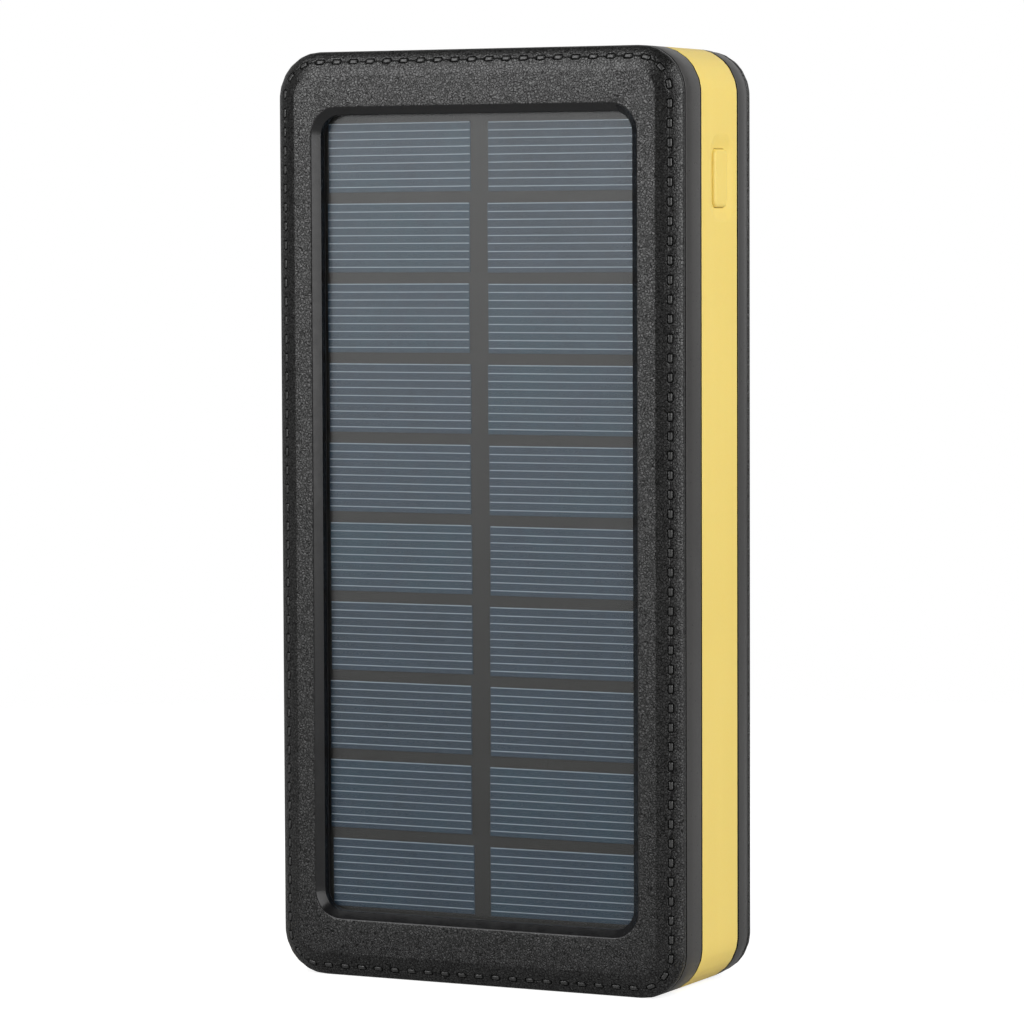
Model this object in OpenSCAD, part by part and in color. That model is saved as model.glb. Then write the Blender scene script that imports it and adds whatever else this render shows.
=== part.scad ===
// Solar power bank: two black leather-look covers on a yellow band, with a solar panel in the
// front cover, a push button in the band's side, sockets and a torch in its top end, and the
// cells and electronics inside. It stands on its short end: +Z is up, the panel faces -Y and
// the button is on +X. The origin is the middle of the bottom end.

/* [Body] */
// Height of the case
body_h = 165; // [163:0.5:168]
// Width of the case
body_w = 79; // [78:0.2:81]
// Depth of the case, front plate to back
body_d = 34; // [33.8:0.1:34.6]
// Corner radius of the case seen from the front
corner_r = 8.2; // [7.8:0.2:10]
// Wall thickness of the covers and the band
wall = 2; // [1.8:0.1:2.2]
// Depth of the front cover along the case's side
front_side = 9.8; // [9.6:0.1:10.2]
// Depth of the yellow band
band_d = 15.7; // [15.4:0.1:16]

/* [Rolled edges] */
// How far the rolled edge reaches in from the side
roll_w = 4.4; // [3.5:0.1:5]
// How deep the rolled edge runs before the side is straight
roll_d = 3.2; // [2.6:0.1:3.6]
// Slices in the rolled edge
roll_steps = 8; // [6:1:10]

/* [Window and solar panel] */
// Width of the window at the front face
window_w = 63.6; // [62:0.2:64]
// Height of the window at the front face
window_h = 144.5; // [142:0.5:146]
// How far the window's middle sits above the case's middle
window_rise = 0.3; // [0:0.1:0.5]
// Corner radius of the window at the front face
window_r = 5; // [4:0.5:6]
// Width of the bevel round the window
bevel_w = 1.3; // [1:0.1:1.5]
// Depth of the bevel round the window
bevel_d = 1.1; // [0.8:0.1:1.3]
// Depth of the panel's face below the front face
panel_depth = 2.7; // [2.5:0.1:3]
// Rows of cells on the panel
cell_rows = 10; // [8:1:10]
// Width of a cell
cell_w = 28.3; // [27.5:0.1:28.4]
// Height of a cell
cell_h = 12.2; // [11.5:0.1:12.4]
// Distance from one row of cells to the next
cell_pitch = 14.18; // [13.8:0.02:14.2]
// Gap between the two columns of cells
column_gap = 3.5; // [3:0.1:3.6]
// How far the cells' middle sits below the window's middle
cells_drop = 0.4; // [0:0.1:0.6]

/* [Button] */
// Size of the button along the case's depth
button_w = 5.6; // [5.2:0.1:6.6]
// Size of the button along the case's height
button_h = 10.2; // [10:0.1:11]
// Height of the button's middle
button_z = 142.2; // [142:0.2:144]
// Distance of the button's middle behind the band's middle
button_shift = 1.1; // [0:0.1:1.2]
// Gap between the button and its slot
button_gap = 0.15; // [0.1:0.05:0.2]
// Travel of the button when pressed
button_travel = 0.4; // [0.3:0.05:0.5]

/* [Sockets and torch] */
// Middle of the first USB-A socket across the case
usb_a1_x = 18.5; // [18:0.5:19]
// Middle of the second USB-A socket across the case
usb_a2_x = 2; // [1.5:0.5:2.5]
// Middle of the USB-C socket across the case
usb_c_x = -11.5; // [-12:0.5:-11]
// Middle of the torch window across the case
torch_x = -24.5; // [-25:0.5:-24.5]

/* [Hidden] */

round_fn = 48;
slice = 0.02;
front_y = -body_d / 2;
back_y = body_d / 2;
seam_front = front_y + front_side;
seam_rear = seam_front + band_d;
band_y = (seam_front + seam_rear) / 2;
button_y = band_y + button_shift;
side_x = body_w / 2;
inner_x = side_x - wall;
plate = 1.8;
lip_h = 1.5;
lip_t = 1;
lip_gap = 0.1;

// Panel stack, front to back
window_z = body_h / 2 + window_rise;
tape_t = 0.2;
laminate_t = 0.4;
cell_t = 0.2;
backsheet_t = 1.2;
rim_t = 1.4;
panel_edge = 1;
panel_r = 4;
panel_y = front_y + panel_depth;
cell_y = panel_y + laminate_t;
backsheet_y = cell_y + cell_t;
panel_back_y = backsheet_y + backsheet_t;
opening_w = window_w - 2 * bevel_w;
opening_h = window_h - 2 * bevel_w;
opening_r = window_r - bevel_w;
cells_h = (cell_rows - 1) * cell_pitch + cell_h;

// Main board and what it carries
board_t = 1.6;
usb_a_size = [13.1, 5.7, 14];
usb_c_size = [8.94, 3.16, 7.3];
shell_t = 0.3;
board_y = band_y + usb_a_size.y / 2;
board_w = 68;
board_low = 121;
board_high = body_h - 4.5;
socket_z = body_h - 0.4;
socket_gap = 0.3;
usb_c_y = board_y - usb_c_size.y / 2;
tongue_a = [11.1, 1.84, 9];
tongue_a_y = board_y - usb_a_size.y + shell_t + 0.5;
tongue_c = [6.7, 0.7, 4.6];
contact_a = [1, 0.2, 7];
contact_a_x = [-3.5, -1, 1, 3.5];
screw_x = 31.5;
screw_z = [126.5, 153.5];
screw_r = 1;
screw_head_r = 1.9;
screw_l = 3.2;
ledge_d = 1.8;

// Button, its flange and the switch behind it
button_r = 1.2;
moat_w = 2.2;
moat_d = 0.6;
flange_t = 0.8;
flange_w = 1;
flange_x = inner_x - 0.15;
stem_r = 1.5;
switch_x = [30.4, 34];
switch_h = 6;
plunger_x = [32.6, 35.4];
plunger_size = [1.6, 2.6];
plunger_fit = 0.05;
stem_tip = plunger_x[1] + 0.05;

// Torch in the top end
torch_size = [11, 7];
torch_r = 2;
torch_board_z = 158.4;
torch_board_t = 1;
torch_led = [3.5, 3.5, 1.2];
torch_led_gap = 5.4;
reflector_z = torch_board_z + torch_board_t + 0.05;
cup_r = [2.6, 1.9];

// Status lights in the band's other side
light_z = [137.6, 141.1, 144.6, 148.1];
light_r = 0.8;
light_fit = 0.05;
light_bar_x = [-36.4, -35.2];
status_led = [1.2, 0.8, 1.6];

// Battery
cell_size = [62, 12.3, 106];
pouch_low = 4;
pouch_r = 2.5;
pad_t = 0.8;
pad_size = [50, 90];
pouch_front_y = panel_back_y + pad_t;
pouch_rear_y = pouch_front_y + cell_size.y + pad_t;
pouch_top = pouch_low + cell_size.z;
terrace = [56, 1, 3];
tab = [6, 0.2, 2];
tab_x = 13;
guard_size = [44, 16, 0.8];
guard_z = pouch_top + terrace.z + tab.z;
shelf_z = guard_z + 2.6;
shelf_t = 1.2;
wire_r = 0.8;
battery_wire_x = 8;
panel_wire_x = 4;
panel_wire_z = 134;

// Rounded rectangle seen from the front, centred
module rounded(w, h, r) {
    square([w - 2 * r, h], center = true);
    square([w, h - 2 * r], center = true);
    for (sx = [-1, 1], sz = [-1, 1])
        translate([sx * (w / 2 - r), sz * (h / 2 - r)]) circle(r, $fn = round_fn);
}

// Slab with a rounded outline in the XZ plane, between two depths
module slab(w, h, r, y_low, y_high, z_mid = body_h / 2) {
    translate([0, y_high, z_mid]) rotate([90, 0, 0]) linear_extrude(y_high - y_low) rounded(w, h, r);
}

// Box between two corners
module block(low, high) {
    translate(low) cube(high - low);
}

// Slab with a rounded outline in the XY plane, for what goes through the top end
module top_slab(w, d, r, x_mid, y_mid, z_low, z_high) {
    translate([x_mid, y_mid, z_low]) linear_extrude(z_high - z_low) rounded(w, d, r);
}

// Slab with a rounded outline in the YZ plane, for what goes through the side
module side_slab(d, h, r, x_low, x_high) {
    translate([x_low, button_y, button_z]) rotate([90, 0, 90]) linear_extrude(x_high - x_low) rounded(d, h, r);
}

// Outline of the case drawn in by an inset, between two depths
module case_slab(inset, y_low, y_high) {
    slab(body_w - 2 * inset, body_h - 2 * inset, corner_r - inset, y_low, y_high);
}

// Solid cover with a rolled edge, built towards -Y from a seam at y = 0
module rolled_cover(depth) {
    hull() {
        case_slab(0, -depth + roll_d, 0);
        for (k = [0:roll_steps]) {
            angle = 90 * k / roll_steps;
            inset = roll_w * (1 - sin(angle));
            y = -depth + roll_d * (1 - cos(angle));
            case_slab(inset, y, y + slice);
        }
    }
}

// Inside of a cover, and the lip that enters the band
module hollow_cover(depth) {
    difference() {
        rolled_cover(depth);
        case_slab(wall, -depth + plate, 1);
    }
    difference() {
        union() {
            case_slab(wall - slice, -2, 0);
            case_slab(wall + lip_gap, -slice, lip_h);
        }
        case_slab(wall + lip_gap + lip_t, -3, lip_h + 1);
    }
}

module window_cut() {
    hull() {
        slab(window_w, window_h, window_r, front_y - slice, front_y, window_z);
        slab(opening_w, opening_h, opening_r, front_y + bevel_d, front_y + bevel_d + slice, window_z);
    }
    slab(opening_w, opening_h, opening_r, front_y, panel_y, window_z);
}

module front_cover() {
    color("#2b2b2b") difference() {
        union() {
            translate([0, seam_front, 0]) hollow_cover(front_side);
            slab(opening_w + 2 * rim_t, opening_h + 2 * rim_t, opening_r + rim_t,
                 front_y + plate - slice, panel_y - tape_t, window_z);
        }
        window_cut();
    }
}

module rear_cover() {
    color("#2b2b2b") translate([0, seam_rear, 0]) mirror([0, 1, 0]) hollow_cover(back_y - seam_rear);
}

module socket_cuts() {
    for (x = [usb_a1_x, usb_a2_x])
        top_slab(usb_a_size.x + 2 * socket_gap, usb_a_size.y + 2 * socket_gap, 0.5,
                 x, band_y, body_h - 2 * wall, body_h + 1);
    top_slab(usb_c_size.x + 2 * socket_gap, usb_c_size.y + 2 * socket_gap, usb_c_size.y / 2,
             usb_c_x, usb_c_y, body_h - 2 * wall, body_h + 1);
    top_slab(torch_size.x, torch_size.y, torch_r, torch_x, band_y, body_h - 2 * wall, body_h + 1);
}

module button_cut() {
    side_slab(button_w + 2 * button_gap, button_h + 2 * button_gap, button_r + button_gap,
              inner_x - 1, side_x + 1);
    hull() {
        side_slab(button_w + 2 * button_gap, button_h + 2 * button_gap, button_r + button_gap,
                  side_x - moat_d, side_x);
        side_slab(button_w + 2 * moat_w, button_h + 2 * moat_w, button_r + moat_w,
                  side_x, side_x + 1);
    }
}

module light_cuts() {
    for (z = light_z)
        translate([-side_x - 1, band_y, z]) rotate([0, 90, 0])
            cylinder(r = light_r + light_fit, h = wall + 2, $fn = round_fn);
}

module screw_ledges() {
    difference() {
        for (side = [-1, 1], z = screw_z)
            block([side * 34 - 4.5, board_y + board_t, z - 3],
                  [side * 34 + 4.5, board_y + board_t + ledge_d, z + 3]);
        for (side = [-1, 1], z = screw_z)
            translate([side * screw_x, board_y, z]) rotate([-90, 0, 0])
                cylinder(r = screw_r, h = 6, $fn = round_fn);
    }
}

module mid_frame() {
    color("#edd275") {
        difference() {
            case_slab(0, seam_front, seam_rear);
            case_slab(wall, seam_front - 1, seam_rear + 1);
            socket_cuts();
            button_cut();
            light_cuts();
        }
        intersection() {
            screw_ledges();
            case_slab(wall - slice, seam_front, seam_rear);
        }
        difference() {
            block([-inner_x - slice, seam_front + 2.4, shelf_z],
                  [inner_x + slice, seam_rear - 2.4, shelf_z + shelf_t]);
            block([-12, band_y - 3, shelf_z - 1], [12, band_y + 4, shelf_z + shelf_t + 1]);
        }
    }
}

module power_button() {
    color("#edd275") {
        hull() {
            side_slab(button_w, button_h, button_r, flange_x - flange_t, side_x - 0.3);
            side_slab(button_w - 0.6, button_h - 0.6, button_r - 0.3, side_x - 0.05, side_x);
        }
        side_slab(button_w + 2 * flange_w, button_h + 2 * flange_w, button_r + flange_w,
                  flange_x - flange_t, flange_x);
        translate([stem_tip, band_y, button_z]) rotate([0, 90, 0])
            cylinder(r = stem_r, h = flange_x - flange_t - stem_tip + slice, $fn = round_fn);
    }
}

module switch_body() {
    color("#3a3a3c") difference() {
        block([switch_x[0], band_y - 2, button_z - switch_h / 2],
              [switch_x[1], board_y, button_z + switch_h / 2]);
        block([plunger_x[0] - button_travel - 0.2, band_y - plunger_size[0] / 2 - plunger_fit,
               button_z - plunger_size[1] / 2 - plunger_fit],
              [switch_x[1] + 1, band_y + plunger_size[0] / 2 + plunger_fit,
               button_z + plunger_size[1] / 2 + plunger_fit]);
    }
}

module switch_plunger() {
    color("#1c1c1c")
        block([plunger_x[0], band_y - plunger_size[0] / 2, button_z - plunger_size[1] / 2],
              [plunger_x[1], band_y + plunger_size[0] / 2, button_z + plunger_size[1] / 2]);
}

module panel_backsheet() {
    color("#57544e")
        slab(opening_w + 2 * (rim_t + panel_edge), opening_h + 2 * (rim_t + panel_edge), panel_r,
             backsheet_y, panel_back_y, window_z);
}

module panel_laminate() {
    color([0.8, 0.85, 0.9, 0.3])
        slab(opening_w + 2 * (rim_t + panel_edge), opening_h + 2 * (rim_t + panel_edge), panel_r,
             panel_y, cell_y, window_z);
}

module panel_tape() {
    color("#1a1a1a") difference() {
        slab(opening_w + 2 * rim_t, opening_h + 2 * rim_t, opening_r + rim_t,
             panel_y - tape_t, panel_y, window_z);
        slab(opening_w, opening_h, opening_r, panel_y - 1, panel_y + 1, window_z);
    }
}

// One column of cells: side is -1 for the left column and 1 for the right
module cell_column(side) {
    x = side > 0 ? column_gap / 2 : -column_gap / 2 - cell_w;
    for (row = [0:cell_rows - 1]) {
        top = window_z - cells_drop + cells_h / 2 - row * cell_pitch;
        block([x, cell_y, top - cell_h], [x + cell_w, backsheet_y, top]);
    }
}

module panel_cells_left() {
    color("#46525c") cell_column(-1);
}

module panel_cells_right() {
    color("#46525c") cell_column(1);
}

// Lead from the panel's back to the main board's face
module panel_wire(side) {
    translate([side * panel_wire_x, panel_back_y, panel_wire_z]) rotate([-90, 0, 0])
        cylinder(r = 0.6, h = board_y - panel_back_y, $fn = 24);
}

module panel_wire_red() {
    color("#b02020") panel_wire(1);
}

module panel_wire_black() {
    color("#202020") panel_wire(-1);
}

module main_board() {
    color("#1f5a34") difference() {
        block([-board_w / 2, board_y, board_low], [board_w / 2, board_y + board_t, board_high]);
        block([-board_w / 2 - 1, board_y - 1, torch_board_z - 0.6],
              [torch_x + torch_size.x / 2 + 1.5, board_y + board_t + 1, board_high + 1]);
        for (side = [-1, 1], z = screw_z)
            translate([side * screw_x, board_y - 1, z]) rotate([-90, 0, 0])
                cylinder(r = screw_r + 0.1, h = board_t + 2, $fn = round_fn);
    }
}

module board_screws() {
    color("silver") for (side = [-1, 1], z = screw_z)
        translate([side * screw_x, board_y, z]) rotate([-90, 0, 0]) {
            cylinder(r = screw_r, h = screw_l, $fn = round_fn);
            translate([0, 0, -1.2]) difference() {
                cylinder(r = screw_head_r, h = 1.2, $fn = round_fn);
                for (turn = [0, 90]) rotate([0, 0, turn])
                    translate([-1.2, -0.25, -0.1]) cube([2.4, 0.5, 0.8]);
            }
        }
}

module usb_a_shell(x) {
    low = [x - usb_a_size.x / 2, board_y - usb_a_size.y, socket_z - usb_a_size.z];
    difference() {
        block(low, low + usb_a_size);
        block(low + [shell_t, shell_t, shell_t], low + usb_a_size + [-shell_t, -shell_t, 1]);
    }
}

module usb_a_shell_1() {
    color("silver") usb_a_shell(usb_a1_x);
}

module usb_a_shell_2() {
    color("silver") usb_a_shell(usb_a2_x);
}

// Tongue that carries the contacts, on a base that fills the back of the shell
module usb_a_tongue(x) {
    back = socket_z - usb_a_size.z + shell_t;
    block([x - usb_a_size.x / 2 + shell_t, board_y - usb_a_size.y + shell_t, back],
          [x + usb_a_size.x / 2 - shell_t, board_y - shell_t, back + 3]);
    block([x - tongue_a.x / 2, tongue_a_y, back + 3 - slice],
          [x + tongue_a.x / 2, tongue_a_y + tongue_a.y, back + 3 + tongue_a.z]);
}

module usb_a_tongue_1() {
    color("#e8e8e4") usb_a_tongue(usb_a1_x);
}

module usb_a_tongue_2() {
    color("#e8e8e4") usb_a_tongue(usb_a2_x);
}

module usb_a_contacts() {
    low = socket_z - usb_a_size.z + shell_t + 3.5;
    color("#c9a24b") for (x = [usb_a1_x, usb_a2_x], dx = contact_a_x)
        block([x + dx - contact_a.x / 2, tongue_a_y + tongue_a.y, low],
              [x + dx + contact_a.x / 2, tongue_a_y + tongue_a.y + contact_a.y, low + contact_a.z]);
}

module usb_c_shell() {
    color("silver") difference() {
        top_slab(usb_c_size.x, usb_c_size.y, usb_c_size.y / 2 - 0.01, usb_c_x, usb_c_y,
                 socket_z - usb_c_size.z, socket_z);
        top_slab(usb_c_size.x - 2 * shell_t, usb_c_size.y - 2 * shell_t,
                 usb_c_size.y / 2 - shell_t - 0.01, usb_c_x, usb_c_y,
                 socket_z - usb_c_size.z + shell_t, socket_z + 1);
    }
}

module usb_c_tongue() {
    back = socket_z - usb_c_size.z + shell_t;
    color("#1c1c1c") {
        top_slab(usb_c_size.x - 2 * shell_t, usb_c_size.y - 2 * shell_t,
                 usb_c_size.y / 2 - shell_t - 0.01, usb_c_x, usb_c_y, back, back + 1.4);
        block([usb_c_x - tongue_c.x / 2, usb_c_y - tongue_c.y / 2, back + 1],
              [usb_c_x + tongue_c.x / 2, usb_c_y + tongue_c.y / 2, back + 1.4 + tongue_c.z]);
    }
}

// Part that stands on the main board's face: middle, size across and up, and height
module board_part(x, z, w, h, t) {
    block([x - w / 2, board_y - t, z - h / 2], [x + w / 2, board_y, z + h / 2]);
}

module control_chips() {
    color("#18181a") {
        board_part(-14, 143, 7, 7, 0.9);
        board_part(12, 142, 5, 5, 0.9);
        board_part(22, 128, 5, 4, 1.5);
    }
}

module power_inductors() {
    color("#3c3c40") for (x = [-2, -14])
        translate([x, board_y - 4, 128]) rotate([-90, 0, 0]) {
            cylinder(r = 3.6, h = 4, $fn = 8);
        }
}

module capacitors() {
    color("#b49a6e") {
        for (k = [0:4]) board_part(-23 + 2.4 * k, 136, 1.6, 3.2, 1.6);
        for (k = [0:2]) board_part(10 + 2.4 * k, 136, 1.6, 3.2, 1.6);
    }
}

module torch_board() {
    color("#e6e6e2")
        block([torch_x - 5.5, band_y - 3.4, torch_board_z],
              [torch_x + 5.5, band_y + 3.4, torch_board_z + torch_board_t]);
}

module torch_leds() {
    color("#f1d94e") for (side = [-1, 1])
        translate([torch_x + side * torch_led_gap / 2 - torch_led.x / 2, band_y - torch_led.y / 2,
                   torch_board_z + torch_board_t])
            cube(torch_led);
}

module torch_reflector() {
    color("#d8d8dc") difference() {
        block([torch_x - 5.2, band_y - 3.2, reflector_z],
              [torch_x + 5.2, band_y + 3.2, body_h - wall - 0.1]);
        for (side = [-1, 1])
            translate([torch_x + side * torch_led_gap / 2, band_y, reflector_z - 0.5])
                cylinder(r = cup_r[0], h = 6, $fn = round_fn);
    }
}

module torch_lens() {
    color([0.9, 0.95, 1, 0.4])
        top_slab(torch_size.x - 0.1, torch_size.y - 0.1, torch_r, torch_x, band_y,
                 body_h - wall, body_h - 0.2);
}

module status_leds() {
    color("#f4f4ee") for (z = light_z)
        block([-board_w / 2, board_y - status_led.y, z - status_led.z / 2],
              [-board_w / 2 + status_led.x, board_y, z + status_led.z / 2]);
}

module light_pipe() {
    color([0.95, 0.97, 1, 0.5]) {
        block([light_bar_x[0], band_y - 0.9, light_z[0] - 1.5],
              [light_bar_x[1], board_y - 0.1, light_z[3] + 1.5]);
        for (z = light_z)
            translate([-side_x, band_y, z]) rotate([0, 90, 0])
                cylinder(r = light_r, h = side_x + light_bar_x[1] - 0.5, $fn = round_fn);
    }
}

// Pouch cell: a soft flat block with a thin sealed terrace along its top
module battery_cell(y) {
    slab(cell_size.x, cell_size.z, pouch_r, y, y + cell_size.y, pouch_low + cell_size.z / 2);
    block([-terrace.x / 2, y + cell_size.y / 2 - terrace.y / 2, pouch_top - 1],
          [terrace.x / 2, y + cell_size.y / 2 + terrace.y / 2, pouch_top + terrace.z]);
}

module battery_cell_front() {
    color("#b9bcc0") battery_cell(pouch_front_y);
}

module battery_cell_rear() {
    color("#b9bcc0") battery_cell(pouch_rear_y);
}

module cell_tabs() {
    color("#c8c6bd") for (y = [pouch_front_y, pouch_rear_y], side = [-1, 1])
        translate([side * tab_x - tab.x / 2, y + cell_size.y / 2 - tab.y / 2, guard_z - tab.z])
            cube(tab);
}

module protection_board() {
    color("#1f5a34")
        translate([-guard_size.x / 2, (pouch_front_y + pouch_rear_y + cell_size.y) / 2 - guard_size.y / 2,
                   guard_z])
            cube(guard_size);
}

module protection_chips() {
    color("#18181a") for (x = [-17, 17])
        block([x - 2, band_y - 2, guard_z + guard_size.z], [x + 2, band_y + 1, guard_z + guard_size.z + 1]);
}

// Lead from the protection board up to the main board's face
module battery_wire(side) {
    low = guard_z + guard_size.z;
    translate([side * battery_wire_x, board_y - wire_r - 0.05, low])
        cylinder(r = wire_r, h = board_low + 5 - low, $fn = 24);
}

module battery_wire_red() {
    color("#b02020") battery_wire(1);
}

module battery_wire_black() {
    color("#202020") battery_wire(-1);
}

// Foam pad against a face of the cells
module cell_pad(y, t) {
    slab(pad_size[0], pad_size[1], 2, y, y + t, pouch_low + cell_size.z / 2);
}

module cell_pad_front() {
    color("#55585c") cell_pad(panel_back_y, pad_t);
}

module cell_pad_middle() {
    color("#55585c") cell_pad(pouch_front_y + cell_size.y, pad_t);
}

module cell_pad_rear() {
    y = pouch_rear_y + cell_size.y;
    color("#55585c") cell_pad(y, back_y - plate - y);
}

front_cover();
rear_cover();
mid_frame();
power_button();
switch_body();
switch_plunger();
panel_backsheet();
panel_cells_left();
panel_cells_right();
panel_laminate();
panel_tape();
panel_wire_red();
panel_wire_black();
main_board();
board_screws();
usb_a_shell_1();
usb_a_shell_2();
usb_a_tongue_1();
usb_a_tongue_2();
usb_a_contacts();
usb_c_shell();
usb_c_tongue();
control_chips();
power_inductors();
capacitors();
torch_board();
torch_leds();
torch_reflector();
torch_lens();
status_leds();
light_pipe();
battery_cell_front();
battery_cell_rear();
cell_tabs();
protection_board();
protection_chips();
battery_wire_red();
battery_wire_black();
cell_pad_front();
cell_pad_middle();
cell_pad_rear();
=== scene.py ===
import math

import bmesh
import bpy
import numpy as np
from mathutils import Matrix, Vector


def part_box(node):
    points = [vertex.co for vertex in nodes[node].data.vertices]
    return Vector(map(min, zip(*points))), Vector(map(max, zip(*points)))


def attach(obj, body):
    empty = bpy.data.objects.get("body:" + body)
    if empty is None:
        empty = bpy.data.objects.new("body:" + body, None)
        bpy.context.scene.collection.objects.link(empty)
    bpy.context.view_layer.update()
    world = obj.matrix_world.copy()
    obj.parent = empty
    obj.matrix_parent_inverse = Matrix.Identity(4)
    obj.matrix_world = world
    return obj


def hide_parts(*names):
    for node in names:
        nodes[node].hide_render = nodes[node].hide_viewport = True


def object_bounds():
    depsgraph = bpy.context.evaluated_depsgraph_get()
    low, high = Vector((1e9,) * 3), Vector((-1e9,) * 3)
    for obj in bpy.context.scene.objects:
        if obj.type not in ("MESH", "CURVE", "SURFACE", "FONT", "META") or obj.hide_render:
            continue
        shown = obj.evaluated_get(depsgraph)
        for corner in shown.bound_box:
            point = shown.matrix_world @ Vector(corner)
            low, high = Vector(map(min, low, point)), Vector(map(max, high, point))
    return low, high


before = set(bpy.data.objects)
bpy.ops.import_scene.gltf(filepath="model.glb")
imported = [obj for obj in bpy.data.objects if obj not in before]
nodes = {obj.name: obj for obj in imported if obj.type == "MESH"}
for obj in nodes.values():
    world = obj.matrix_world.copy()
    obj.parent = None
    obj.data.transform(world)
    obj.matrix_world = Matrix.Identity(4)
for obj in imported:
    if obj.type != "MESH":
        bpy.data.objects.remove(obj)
cad_box = [list(corner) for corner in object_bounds()]
MM = 0.001


def mm_box(node):
    """Lowest and highest corner of a CAD node, in millimetres."""
    return tuple(np.array(corner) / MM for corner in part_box(node))


# ---------------------------------------------------------------- sizes taken from the frame
low, high = (np.array(corner) / MM for corner in cad_box)
SIDE = high[0]
FRONT, BACK = low[1], high[1]
HEIGHT = high[2]
MID_Z = HEIGHT / 2
band_low, band_high = mm_box("mid_frame")
SEAM_FRONT, SEAM_REAR = band_low[1], band_high[1]
BAND_Y = (SEAM_FRONT + SEAM_REAR) / 2
panel_low, panel_high = mm_box("panel_laminate")
PANEL_Y = panel_low[1]
WINDOW_Z = (panel_low[2] + panel_high[2]) / 2
button_low, button_high = mm_box("power_button")
BUTTON_Y = (button_low[1] + button_high[1]) / 2
BUTTON_Z = (button_low[2] + button_high[2]) / 2

# Shapes the CAD model shares, in millimetres
CORNER_R = 8.2
ROLL_W, ROLL_D = 4.4, 3.2
# Lean of the rolled edge in degrees against the way along it, from the flat face to the side
ROLL_WAY = [0, 0.35, 2.8, 4.4, 4.9, 5.15, 5.6]
ROLL_LEAN = [0, 14, 22, 30, 55, 86, 90]
REAR_DRAFT = 0.26
WALL, PLATE = 2.0, 1.8
LIP_IN, LIP_T, LIP_H = 0.1, 1.0, 1.5
WINDOW = (31.8, 72.25, 5.0)
BEVEL_W, BEVEL_D = 1.3, 1.1
RIM_W, TAPE_T = 1.4, 0.2

# Rebates along the seams, painted near black as shade: depth, width in the band at the front and rear,
# width in the rear cover
SEAM_D, SEAM_GAP, REAR_GAP = 0.9, (0.45, 0.1), 0.4

# Stitch row moulded on the rolled edge
STITCHES = 138
STITCH_INSET = 1.85
STITCH_START = -0.3
PAD = (0.7, 0.35, 0.2)
PAD_RISE, MOAT_D, MOAT_W = 0.1, 0.24, 0.24
THREAD_D, THREAD_W = 0.12, 0.17
ALONG = [0, 0.36, 0.54, 0.64, 0.71, 0.79, 0.89, 1.02]
ACROSS = [0, 0.06, 0.12, 0.18, 0.24, 0.29, 0.34, 0.39, 0.44, 0.5, 0.57, 0.66, 0.8]

# Angle in degrees past which an edge is hard, and the corners of the largest face that is smooth
SHARP = 35
SMOOTH_CORNERS = 8


# ---------------------------------------------------------------- mesh tools
def smoothstep(x):
    x = np.clip(x, 0, 1)
    return x * x * (3 - 2 * x)


def shade(mesh, sharp):
    """Smooth shading, with hard edges past an angle and flat ends."""
    mesh.set_sharp_from_angle(angle=math.radians(sharp))
    smooth = np.array([len(face.vertices) <= SMOOTH_CORNERS for face in mesh.polygons], bool)
    mesh.polygons.foreach_set("use_smooth", smooth)


def make_object(name, verts, faces, materials, face_mats=None, attributes=None, sharp=SHARP):
    mesh = bpy.data.meshes.new(name)
    mesh.from_pydata((np.asarray(verts, float) * MM).tolist(), [], [list(map(int, f)) for f in faces])
    for key, values in (attributes or {}).items():
        layer = mesh.attributes.new(key, "FLOAT", "POINT")
        layer.data.foreach_set("value", np.asarray(values, np.float32))
    if face_mats is not None:
        mesh.polygons.foreach_set("material_index", np.asarray(face_mats, np.int32))
    for m in materials:
        mesh.materials.append(m)
    bm = bmesh.new()
    bm.from_mesh(mesh)
    bmesh.ops.recalc_face_normals(bm, faces=bm.faces)
    bm.to_mesh(mesh)
    bm.free()
    shade(mesh, sharp)
    mesh.update()
    obj = bpy.data.objects.new(name, mesh)
    bpy.context.scene.collection.objects.link(obj)
    return obj


class Loft:
    """Rings of points. Two neighbours have equally many, or one a whole multiple of the other."""

    def __init__(self):
        self.rings, self.verts, self.faces, self.mats = [], [], [], []
        self.attributes = {}
        self.count = 0

    def ring(self, points, **attributes):
        n = len(points)
        self.rings.append((self.count, n))
        self.verts.append(np.asarray(points, float))
        for key in set(self.attributes) | set(attributes):
            values = self.attributes.setdefault(key, [np.zeros(self.count)])
            values.append(np.broadcast_to(attributes.get(key, 0.0), (n,)))
        self.count += n
        return len(self.rings) - 1

    def add(self, points, material=0, **attributes):
        """Ring joined to the one before it."""
        k = self.ring(points, **attributes)
        self.bridge(k - 1, k, material)

    def bridge(self, a, b, material=0):
        (sa, na), (sb, nb) = self.rings[a], self.rings[b]
        if na == nb:
            for i in range(na):
                j = (i + 1) % na
                self.faces.append((sa + i, sa + j, sb + j, sb + i))
            self.mats += [material] * na
            return
        if na > nb:
            (sa, na), (sb, nb) = (sb, nb), (sa, na)
        step = nb // na
        for i in range(na):
            fine = [sb + (i * step + k) % nb for k in range(step, -1, -1)]
            self.faces.append([sa + i, sa + (i + 1) % na] + fine)
        self.mats += [material] * na

    def cap(self, a, material=0):
        start, n = self.rings[a]
        self.faces.append(list(range(start, start + n)))
        self.mats.append(material)

    def build(self, name, materials, sharp=SHARP):
        attributes = {k: np.concatenate(v) for k, v in self.attributes.items()}
        return make_object(name, np.concatenate(self.verts), self.faces, materials, self.mats,
                           attributes, sharp)


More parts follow.
